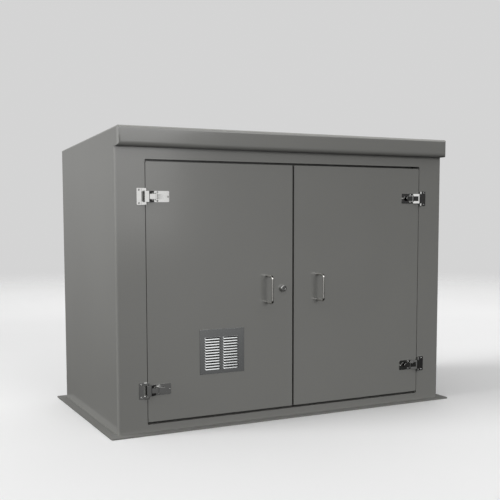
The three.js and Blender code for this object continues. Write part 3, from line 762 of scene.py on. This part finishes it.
def insect_mesh():
    """Woven wire behind the louvres."""
    low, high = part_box("vent_mesh")
    radius = 0.22 * MM
    pitch = 2.6 * MM
    middle = (low.y + high.y) / 2
    counts = [int((high.x - low.x) / pitch), int((high.z - low.z) / pitch)]
    xs = [low.x + (i + 0.5) * (high.x - low.x) / counts[0] for i in range(counts[0])]
    zs = [low.z + (i + 0.5) * (high.z - low.z) / counts[1] for i in range(counts[1])]
    build = bmesh.new()

    def wire(points, side):
        rings = []
        for i, point in enumerate(points):
            along = (points[min(i + 1, len(points) - 1)] - points[max(i - 1, 0)]).normalized()
            across = along.cross(side)
            offsets = [side * radius, across * radius, -side * radius, -across * radius]
            rings.append(ring(build, [point + off for off in offsets]))
        for first, second in zip(rings, rings[1:]):
            bridge(build, first, second)
        build.faces.new(rings[0])
        build.faces.new(rings[-1])

    for i, x in enumerate(xs):
        points = [Vector((x, middle + radius * (-1) ** (i + j), z)) for j, z in enumerate(zs)]
        points = [Vector((x, middle, low.z))] + points + [Vector((x, middle, high.z))]
        wire(points, Vector((1, 0, 0)))
    for j, z in enumerate(zs):
        points = [Vector((x, middle - radius * (-1) ** (i + j), z)) for i, x in enumerate(xs)]
        points = [Vector((low.x, middle, z))] + points + [Vector((high.x, middle, z))]
        wire(points, Vector((0, 0, 1)))
    bmesh.ops.recalc_face_normals(build, faces=build.faces)
    mesh = add_piece("vent_wire_mesh", build, "left_door", "stainless")
    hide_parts("vent_mesh")


# ---- latches ----


def latch(side, level):
    """One latch's four CAD nodes, with the screws that hold its keeper and its base."""
    name = f"{side}_{level}"
    outward = -1 if side == "left" else 1
    for piece, width in (("keeper", 0.4), ("latch_base", 0.35), ("latch_lever", 0.75), ("latch_claw", 0.35)):
        refine(f"{name}_{piece}", width * MM, 2, angle=20)
    keeper_low, keeper_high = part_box(f"{name}_keeper")
    base_low, base_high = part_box(f"{name}_latch_base")
    middle = (keeper_low.z + keeper_high.z) / 2
    edge = keeper_low.x if outward < 0 else keeper_high.x
    inner = base_high.x if outward < 0 else base_low.x
    plate_thick = 2 * MM
    plate = keeper_high.y - plate_thick
    keeper_in, keeper_apart = 9 * MM, 25 * MM
    base_out, base_apart, tail_in = 47 * MM, 16 * MM, 5 * MM
    head_radius, head_high = 3.6 * MM, 2.0 * MM
    keeper_screws = [(edge - outward * keeper_in, middle + up * keeper_apart) for up in (-1, 1)]
    base_screws = [(inner + outward * base_out, middle + up * base_apart) for up in (-1, 1)]
    base_screws.append((inner + outward * tail_in, middle))
    for kind, places, body in (
        ("keeper_screws", keeper_screws, "cabinet"),
        ("base_screws", base_screws, f"{side}_door"),
    ):
        heads = [
            placed(socket_screw(head_radius, head_high), aim((0, -1, 0), (x, plate, z)))
            for x, z in places
        ]
        add_piece(f"{name}_{kind}", gather(heads), body, "stainless")


# ---- backflow preventer ----


RELIEF_DEEP = 120 * MM  # from the pipe's axis to the foot of the relief chamber


def pipe_axis():
    """The middle of the pipe's axis."""
    low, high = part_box("backflow_body")
    return Vector(((low.x + high.x) / 2, (low.y + high.y) / 2, low.z + RELIEF_DEEP))


def middle_of(node):
    low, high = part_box(node)
    return (low + high) / 2


def riser(name, side):
    """Galvanised pipe with a banded elbow."""
    axis = pipe_axis()
    low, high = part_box(f"{name}_riser")
    bend = 80 * MM
    pipe, elbow, bead, bead_long = 30 * MM, 33 * MM, 36 * MM, 11 * MM
    x = (high.x if side > 0 else low.x) - side * elbow
    inner = low.x if side > 0 else high.x
    steps = 14
    turns = [i * math.pi / 2 / steps for i in range(steps + 1)]
    start = axis.z - bend
    below = start - bead_long
    stops = [(low.z, pipe), (below, pipe), (below, bead), (start, bead), (start, elbow)]
    path = [Vector((x, axis.y, z)) for z, _ in stops]
    radii = [radius for _, radius in stops]
    for a in turns[1:-1]:
        along = side * bend * (1 - math.cos(a))
        path.append(Vector((x - along, axis.y, start + bend * math.sin(a))))
        radii.append(elbow)
    end = x - side * bend
    beyond = end - side * bead_long
    stops = [(end, elbow), (end, bead), (beyond, bead), (beyond, pipe), (inner, pipe)]
    path += [Vector((place, axis.y, axis.z)) for place, _ in stops]
    radii += [radius for _, radius in stops]
    build = sweep(path, radii, Vector((0, 1, 0)), 56, bore=26 * MM)
    made = add_piece(f"{name}_pipe_and_elbow", build, "cabinet", "pipe")
    soften(made, 1.4 * MM, 3)
    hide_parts(f"{name}_riser")


def ball_profile(radius, steps=24):
    turns = [math.pi * (i + 0.2) / (steps + 0.4) - math.pi / 2 for i in range(steps + 1)]
    return [(radius * math.cos(a), radius * math.sin(a)) for a in turns]


def valve(name, side):
    """A ball valve: octagonal ends, a round belly, a neck with its gland nut, and a lever."""
    axis = pipe_axis()
    low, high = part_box(f"{name}_valve_body")
    x = (low.x + high.x) / 2
    half = (high.x - low.x) / 2
    along = aim((1, 0, 0), (x, axis.y, axis.z))
    upright = Matrix.Translation((x, axis.y, axis.z))
    barrel = lathe(
        [(34 * MM, -half), (35.5 * MM, 1.5 * MM - half)]
        + mm((35.5, -30), (38, -26), (40, -20), (40, 20), (38, 26), (35.5, 30))
        + [(35.5 * MM, half - 1.5 * MM), (34 * MM, half)],
        72,
    )
    end = half / MM
    on_flat = along @ Matrix.Rotation(math.pi / 8, 4, "Z")
    spans = [(-end, -35), (35, end)]
    parts = [placed(lathe(mm((40.5, a), (40.5, b)), 8), on_flat) for a, b in spans]
    parts.append(placed(lathe(mm((22, 28), (18, 40), (16, 44), (16, 56), (15, 58)), 48), upright))
    gland = hexagon_prism(27 * MM, 12 * MM)
    parts.append(placed(gland, upright @ Matrix.Translation((0, 0, 50 * MM))))
    solid = carved(placed(barrel, along), parts, "UNION")
    cutters = [
        placed(lathe(ball_profile(31 * MM), 48), along),
        placed(lathe([(22 * MM, -half - MM), (22 * MM, half + MM)], 48), along),
        placed(lathe(mm((6.7, 25), (6.7, 64)), 32), upright),
    ]
    body = add_piece(f"{name}_valve_casting", carved(solid, cutters), "cabinet", "bronze")
    soften(body, 1.1 * MM, 2)
    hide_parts(f"{name}_valve_body")
    refine(f"{name}_valve_stem", 0.5 * MM, look="polished_steel")
    lever(name, side)


def lever(name, side):
    """A flat steel bar on the stem, with a nut above it and a dipped vinyl grip."""
    node = f"{name}_valve_lever"
    low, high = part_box(node)
    stem = middle_of(f"{name}_valve_stem")
    middle = (low.z + high.z) / 2
    tip = high.x if side > 0 else low.x
    reach = (tip - stem.x) * side
    thick = 2 * MM
    build = bmesh.new()
    steps = 16
    turns = [math.pi * (0.5 + i / steps) for i in range(steps + 1)]
    outline = [(14 * MM * math.cos(a), 13 * MM * math.sin(a)) for a in turns]
    neck, end, half_wide = 30 * MM, reach - 14 * MM, 8.5 * MM
    outline += [(neck, -half_wide), (end, -half_wide), (end, half_wide), (neck, half_wide)]
    rings = [
        ring(build, [(stem.x + side * u, stem.y + v, middle + level) for u, v in outline])
        for level in (-thick, thick)
    ]
    skin(build, rings)
    hole = placed(lathe(mm((6.5, -4), (6.5, 4)), 32), Matrix.Translation((stem.x, stem.y, middle)))
    nut = placed(hexagon_prism(16 * MM, 4.6 * MM), Matrix.Translation((stem.x, stem.y, middle + thick)))
    bar = add_piece(f"{name}_lever_bar", gather([carved(build, [hole]), nut]), f"{name}_valve", "galvanised")
    soften(bar, 0.5 * MM)

    grip = bmesh.new()
    steps, sides = 40, 32
    start = 60 * MM
    rings = []
    for i in range(steps + 1):
        share = i / steps
        ends = min(share / 0.09, (1 - share) / 0.09, 1)
        swell = (1 - (1 - ends) ** 2.4) ** 0.42
        hold = 1 - 0.06 * math.sin(math.pi * min(share * 1.15, 1)) ** 2
        rib = 1 - (0.035 if 0.25 < share < 0.8 and i % 2 else 0)
        half_wide = 14 * MM * max(swell, 0.3) * hold
        half_thick = 5 * MM * max(swell, 0.3) * rib
        u = start + share * (reach - start)
        points = []
        for k in range(sides):
            a = 2 * math.pi * k / sides
            across = math.copysign(abs(math.cos(a)) ** 0.7, math.cos(a))
            level = math.copysign(abs(math.sin(a)) ** 0.7, math.sin(a))
            points.append((stem.x + side * u, stem.y + half_wide * across, middle + half_thick * level))
        rings.append(ring(grip, points))
    made = add_piece(f"{name}_lever_grip", skin(grip, rings), f"{name}_valve", "lever")
    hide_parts(node)


def backflow_casting():
    """The main casting: barrel, two check towers and the relief chamber, hollow where they are."""
    axis = pipe_axis()
    low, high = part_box("backflow_body")
    end = (high.x - low.x) / 2 / MM
    along = aim((1, 0, 0), axis)
    flange = [(38, -end), (40, 2 - end), (40, 18 - end), (42, 22 - end), (46, 30 - end), (48, 38 - end)]
    barrel = placed(lathe(mm(*flange, *[(r, -x) for r, x in reversed(flange)]), 80), along)
    tower = mm((38, -34), (46, -24), (46, 50), (47, 54), (50, 58), (50, 72))
    relief = mm((44, -120), (44, -108), (40, -104), (38, -98), (38, -40), (34, -20))
    centres = [middle_of(f"{which}_check_poppet").x for which in ("first", "second")]
    spots = [Matrix.Translation((x, axis.y, axis.z)) for x in centres]
    centre = Matrix.Translation(axis)
    added = [placed(lathe(tower, 72), spot) for spot in spots] + [placed(lathe(relief, 64), centre)]
    removed = [placed(lathe(mm((20, -8), (20, 14), (34, 14), (34, 73)), 56), spot) for spot in spots]
    removed.append(placed(lathe(mm((30, -121), (30, -62), (9, -62), (9, 12)), 56), centre))
    whole = carved(carved(barrel, added, "UNION"), removed)
    body = add_piece("backflow_casting", whole, "cabinet", "bronze")
    soften(body, 1.6 * MM, 3)
    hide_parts("backflow_body")


def bolt_circle(count, radius, flats, tall, first=0.0):
    """Hexagon heads on washers, standing on z = 0."""
    heads = []
    for i in range(count):
        angle = first + 2 * math.pi * i / count
        spot = Matrix.Translation((radius * math.cos(angle), radius * math.sin(angle), 0))
        washer = lathe([(0.62 * flats, 0), (0.62 * flats, 1.2 * MM)], 32)
        head = placed(hexagon_prism(flats, tall), Matrix.Translation((0, 0, 1.2 * MM)))
        heads += [placed(washer, spot), placed(head, spot)]
    return gather(heads)


def covers():
    """The bolted covers of both checks, each with a blind guide for its poppet, and the plate
    under the relief chamber with its drain holes."""
    axis = pipe_axis()
    for which in ("first", "second"):
        x = middle_of(f"{which}_check_poppet").x
        spot = Matrix.Translation((x, axis.y, axis.z))
        disc = lathe(mm((50, 72.3), (50, 79), (48.5, 80.5), (30, 82), (28, 83)), 72)
        guide = lathe(mm((13, 44), (13, 73)), 40)
        guide_bore = lathe(mm((5.8, 43), (5.8, 78)), 40)
        plug = placed(hexagon_prism(38 * MM, 10 * MM), Matrix.Translation((0, 0, 82 * MM)))
        whole = carved(carved(disc, [guide, plug], "UNION"), [guide_bore])
        cover = add_piece(f"{which}_cover_casting", placed(whole, spot), "cabinet", "bronze")
        soften(cover, 0.8 * MM)
        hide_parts(f"{which}_check_cover")
        heads = placed(bolt_circle(6, 41 * MM, 11 * MM, 5 * MM), spot @ Matrix.Translation((0, 0, 81 * MM)))
        soften(add_piece(f"{which}_cover_bolts", heads, "cabinet", "galvanised"), 0.3 * MM, 1)
        refine(f"{which}_check_poppet", 0.4 * MM)
    disc = lathe(mm((44, -130), (46, -128.5), (46, -120.3)), 72)
    drains = []
    ring_radius = 25 * MM
    for i in range(4):
        angle = math.pi / 4 + i * math.pi / 2
        spot = Matrix.Translation((ring_radius * math.cos(angle), ring_radius * math.sin(angle), 0))
        drains.append(placed(lathe(mm((8, -132), (8, -118)), 32), spot))
    drains.append(lathe(mm((4.6, -132), (4.6, -118)), 24))
    plate = placed(carved(disc, drains), Matrix.Translation(axis))
    cover = add_piece("relief_cover_plate", plate, "cabinet", "bronze")
    soften(cover, 0.8 * MM)
    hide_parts("relief_valve_cover")
    foot = Matrix.Translation(axis) @ Matrix.Translation((0, 0, -130 * MM))
    under = foot @ Matrix.Rotation(math.pi, 4, "X")
    heads = placed(bolt_circle(4, 38 * MM, 9 * MM, 4 * MM), under)
    soften(add_piece("relief_cover_bolts", heads, "cabinet", "galvanised"), 0.3 * MM, 1)
    refine("relief_valve_disc", 0.4 * MM)


def test_cocks():
    """Small taps with a hexagon, a grooved nose and a slotted spindle."""
    axis = pipe_axis()
    for i in range(1, 5):
        node = f"test_cock_{i}"
        low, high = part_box(node)
        outward = aim((0, -1, 0), ((low.x + high.x) / 2, high.y, axis.z))
        shank = lathe(mm((7, 0), (7, 14)), 36)
        hexagon = placed(hexagon_prism(17.3 * MM, 16 * MM), Matrix.Translation((0, 0, 12 * MM)))
        grooves = [pair for k in range(4) for pair in ((6.0, 29.5 + 2.6 * k), (5.0, 31.6 + 2.6 * k))]
        tip = [(6, 40), (6, 41), (5.2, 41.7), (3, 41.7)]
        nose = lathe(mm((3, 27), (6, 27), *grooves, *tip), 36, closed=True)
        spindle = lathe(mm((4, 0), (4, 14), (3.4, 15)), 28)
        slot = bmesh.new()
        bmesh.ops.create_cube(slot, size=1)
        bmesh.ops.transform(slot, matrix=Matrix.Diagonal((9 * MM, 1.2 * MM, 3 * MM, 1)), verts=slot.verts)
        spindle = carved(spindle, [placed(slot, Matrix.Translation((0, 0, 14.4 * MM)))])
        top = Matrix.Translation(((low.x + high.x) / 2, high.y - 20 * MM, axis.z))
        parts = [placed(part, outward) for part in (shank, hexagon, nose)] + [placed(spindle, top)]
        tap = add_piece(f"{node}_tap", gather(parts), "cabinet", "bronze", "turned_bronze")
        soften(tap, 0.3 * MM, 1, 40)
        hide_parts(node)


def tundish():
    """The funnel under the relief valve, with a rolled rim."""
    low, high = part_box("drain_funnel")
    wall, pipe, bowl = 3, 27, 70
    lip = (high.x - low.x) / 2 / MM
    top = (high.z - low.z) / MM
    throat = top - bowl
    outer = [(pipe, 0), (pipe, throat - 3), (pipe + 2, throat + 2)]
    outer += [(lip - 2, top - 5), (lip, top - 4), (lip, top - 1)]
    inner = [(lip - wall, top), (lip - wall - 2, top - 4), (pipe + 2 - wall, throat + 3)]
    inner += [(pipe - wall, throat - 3), (pipe - wall, 0)]
    spot = Matrix.Translation(((low.x + high.x) / 2, (low.y + high.y) / 2, low.z))
    shape = placed(lathe(mm(*outer, *inner), 72, closed=True), spot)
    funnel = add_piece("drain_tundish", shape, "cabinet", "plastic")
    soften(funnel, 0.8 * MM)
    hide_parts("drain_funnel")


def bolts():
    for level in ("upper", "lower"):
        refine(f"right_bolt_{level}", 0.4 * MM)
        refine(f"bolt_bracket_{level}", 0.4 * MM)


# ---- studio ----


def floor():
    """A pale floor that fades out far off. It takes shadows, but the object neither mirrors it
    nor gets light from it."""
    size = 30.0
    build = bmesh.new()
    bmesh.ops.create_grid(build, x_segments=1, y_segments=1, size=size)
    mesh = bpy.data.meshes.new("floor")
    build.to_mesh(mesh)
    build.free()
    piece = bpy.data.objects.new("floor", mesh)
    bpy.context.scene.collection.objects.link(piece)
    piece.location.z = cad_low.z - 0.0005
    piece.visible_diffuse = False
    piece.visible_glossy = False
    made = bpy.data.materials.new("floor")
    made.use_nodes = True
    g = Graph(made.node_tree)
    grey = g.remap(g.noise(0.7, 3), (0.3, 0.7), (0.84, 0.86))
    shader = g.node("ShaderNodeBsdfPrincipled", {"Base Color": grey, "Roughness": 0.8})
    reach = g.node("ShaderNodeVectorMath", {0: g.place()}, operation="LENGTH").outputs["Value"]
    fade = g.remap(reach, (3.5, 9.0), (0, 1), smooth=True)
    clear = g.node("ShaderNodeBsdfTransparent")
    mixed = g.node("ShaderNodeMixShader", {0: fade, 1: shader.outputs[0], 2: clear.outputs[0]})
    g.node("ShaderNodeOutputMaterial", {"Surface": mixed.outputs[0]})
    mesh.materials.append(made)


def sky():
    """A pale backdrop for the camera, a soft dome for matt surfaces, and for shiny ones a studio
    with a dark floor and one white panel on the left, whose right edge leans as it rises."""
    world = bpy.data.worlds.new("studio")
    bpy.context.scene.world = world
    world.use_nodes = True
    g = Graph(world.node_tree)
    path = g.node("ShaderNodeLightPath")
    direction = g.node("ShaderNodeTexCoord").outputs["Generated"]
    axes = g.node("ShaderNodeSeparateXYZ", {0: direction})
    right, back, up = axes.outputs
    lean, lean_from = 0.75, 0.085
    lift = g.math("MAXIMUM", g.math("SUBTRACT", up, lean_from), 0.0)
    leftward = g.math("SUBTRACT", g.math("MULTIPLY", lift, lean), right)
    panel = g.remap(leftward, (-0.37, -0.354), (0.0, 1.0), smooth=True)
    panel = g.math("MULTIPLY", panel, g.remap(up, (-0.06, 0.0), (0.0, 0.88), smooth=True))
    panel = g.math("MULTIPLY", panel, g.remap(up, (0.02, 0.14), (1.0, 1.9), smooth=True))
    rest = g.remap(up, (-0.3, -0.06), (0.02, 0.4))
    rest = g.math("MULTIPLY", rest, g.remap(right, (0.36, 0.6), (1.0, 0.15), smooth=True))
    ceiling = g.remap(up, (0.45, 0.7), (1.0, 0.0), smooth=True)
    front = g.math("MULTIPLY", g.math("ADD", panel, rest), ceiling)
    behind = g.remap(back, (0.2, 0.45), (0.0, 1.0), smooth=True)
    behind_level = g.remap(up, (-0.2, 0.05), (0.03, 0.35))
    behind_level = g.math("MULTIPLY", behind_level, g.remap(right, (0.1, 0.6), (1.0, 0.15)))
    shiny = g.node("ShaderNodeMix", {0: behind, 2: front, 3: behind_level}).outputs[0]
    overhead = g.remap(up, (-0.15, 0.25), (0.1, 0.52), smooth=True)
    matt = g.math("MULTIPLY", overhead, g.remap(right, (-1, 1), (1.5, 0.85)))
    far_side = g.math("MULTIPLY", g.remap(back, (0, 0.5), (0, 0.5)), g.remap(right, (0, 0.3), (0, 1)))
    matt = g.math("ADD", matt, far_side)
    level = g.node("ShaderNodeMix", {0: path.outputs["Is Glossy Ray"], 2: matt, 3: shiny}).outputs[0]
    backdrop = 0.66
    seen = path.outputs["Is Camera Ray"]
    background = g.node("ShaderNodeMix", {0: seen, 2: level, 3: backdrop}).outputs[0]
    light = g.node("ShaderNodeBackground", {"Color": background, "Strength": 1.0})
    g.node("ShaderNodeOutputWorld", {"Surface": light.outputs[0]})


def aimed_lamp(name, kind, energy, place, target):
    lamp = bpy.data.lights.new(name, kind)
    lamp.energy = energy
    piece = bpy.data.objects.new(name, lamp)
    bpy.context.scene.collection.objects.link(piece)
    piece.location = place
    piece.rotation_mode = "QUATERNION"
    piece.rotation_quaternion = (Vector(target) - piece.location).to_track_quat("-Z", "Y")
    piece.visible_glossy = False
    return lamp


def lamps():
    """A low key light from just right of the front, a stronger one from the left, and a faint
    round lamp out beyond the left wall."""
    middle = (cad_low + cad_high) / 2
    key = aimed_lamp("key", "SUN", 1.26, middle + Vector((0.75, -4.0, 0.95)), middle)
    key.angle = math.radians(26)
    side = aimed_lamp("side", "SUN", 2.3, middle + Vector((-4.0, 0.6, 1.9)), middle)
    side.angle = math.radians(30)
    place = (cad_low.x - 2.1, middle.y, cad_high.z + 0.6)
    left = aimed_lamp("left", "AREA", 4, place, (cad_low.x, middle.y, 0.6))
    left.shape = "DISK"
    left.size = 1.2


def camera():
    """Looks at the front and the left side from a little above the middle."""
    yaw, pitch = math.radians(27.35), math.radians(4.96)
    forward = Vector((math.sin(yaw) * math.cos(pitch), math.cos(yaw) * math.cos(pitch), -math.sin(pitch)))
    data = bpy.data.cameras.new("camera")
    data.lens = 61.5
    data.shift_x = -0.0381
    data.shift_y = 0.0713
    piece = bpy.data.objects.new("camera", data)
    bpy.context.scene.collection.objects.link(piece)
    piece.location = (-1.693, -3.4355, 0.846)
    piece.rotation_mode = "QUATERNION"
    piece.rotation_quaternion = forward.to_track_quat("-Z", "Y")
    bpy.context.scene.camera = piece


cabinet()
doors()
for side in ("left", "right"):
    handle(side)
    for level in ("upper", "lower"):
        latch(side, level)
lock()
grille()
insect_mesh()
bolts()
for name, side in (("inlet", -1), ("outlet", 1)):
    riser(name, side)
    valve(name, side)
backflow_casting()
covers()
test_cocks()
tundish()
floor()
sky()
lamps()
camera()
bpy.context.scene.view_settings.view_transform = "Standard"
